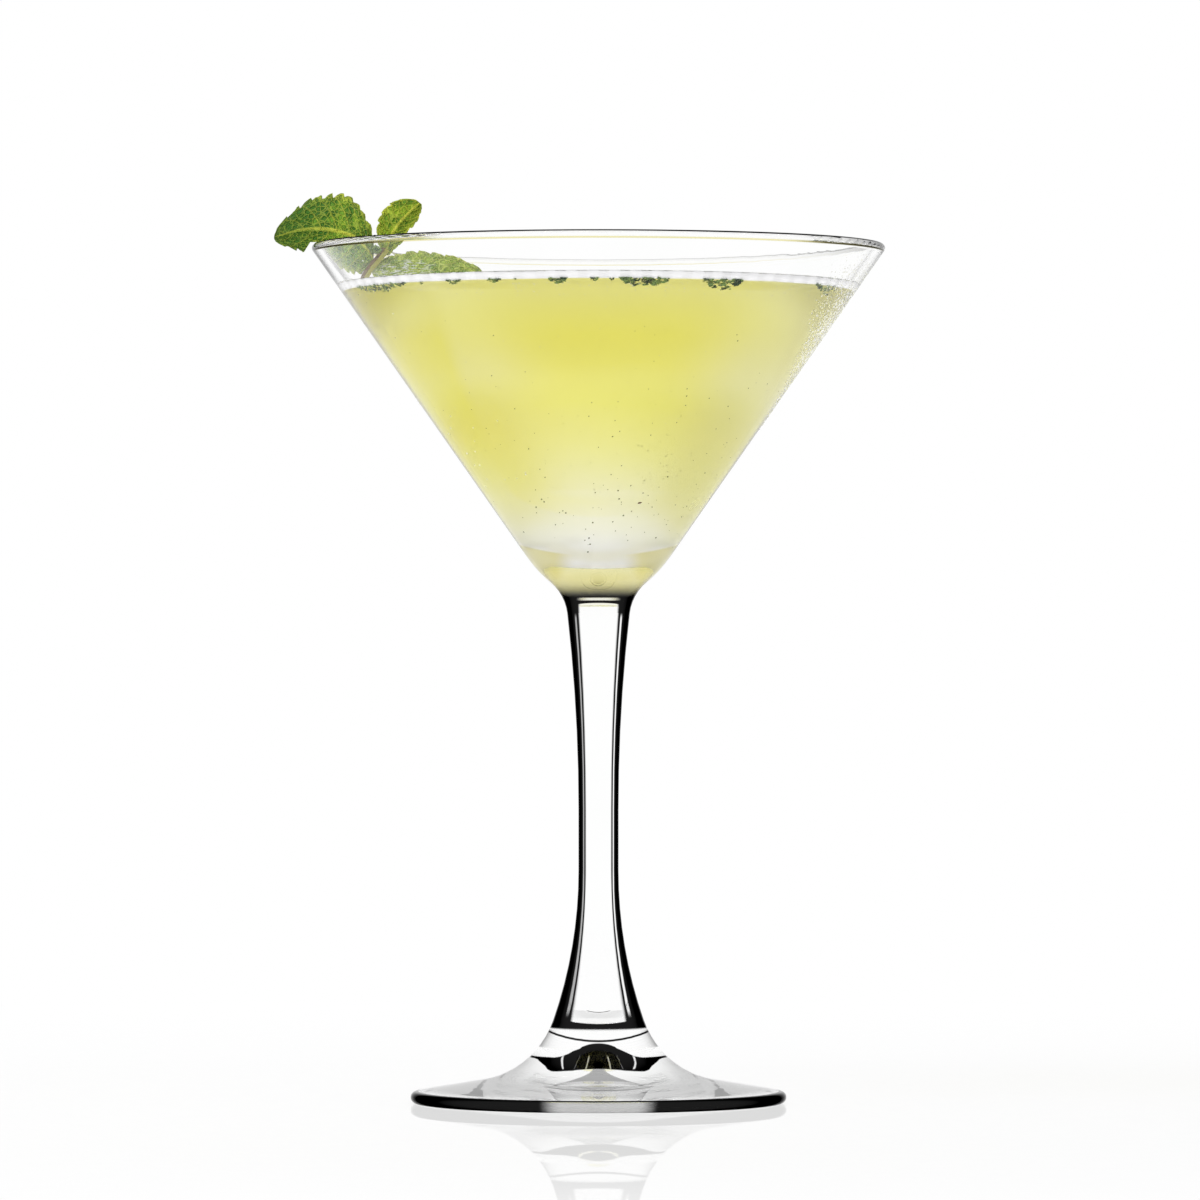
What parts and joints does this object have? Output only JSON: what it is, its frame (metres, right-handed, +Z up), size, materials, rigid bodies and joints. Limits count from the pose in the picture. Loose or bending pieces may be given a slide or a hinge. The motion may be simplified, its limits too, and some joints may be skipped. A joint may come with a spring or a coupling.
{
  "type": "cocktail in a stemmed glass",
  "caption": "Pale yellow-green cocktail in a clear V-shaped stemmed glass, with a sprig of fresh mint leaning on the rim and chopped mint on the surface.",
  "frame": {"origin": "middle of the foot, at the level of the table it stands on", "axes": "+Z up along the axis of the glass, -X towards the mint sprig, -Y towards the viewer"},
  "size_m": [0.1222, 0.1134, 0.1801],
  "materials": {
    "glass": "clear, polished",
    "drink": "hazy liquid, wet",
    "mint_stem": "brown-green skin, satin",
    "mint_leaf": "quilted leaf, satin"
  },
  "bodies": {
    "root": {"glass": "glass", "drink": "drink", "mint_stem": "mint_stem", "mint_leaf_large": "mint_leaf", "mint_leaf_upright": "mint_leaf", "mint_leaf_floating": "mint_leaf"}
  },
  "joints": []
}
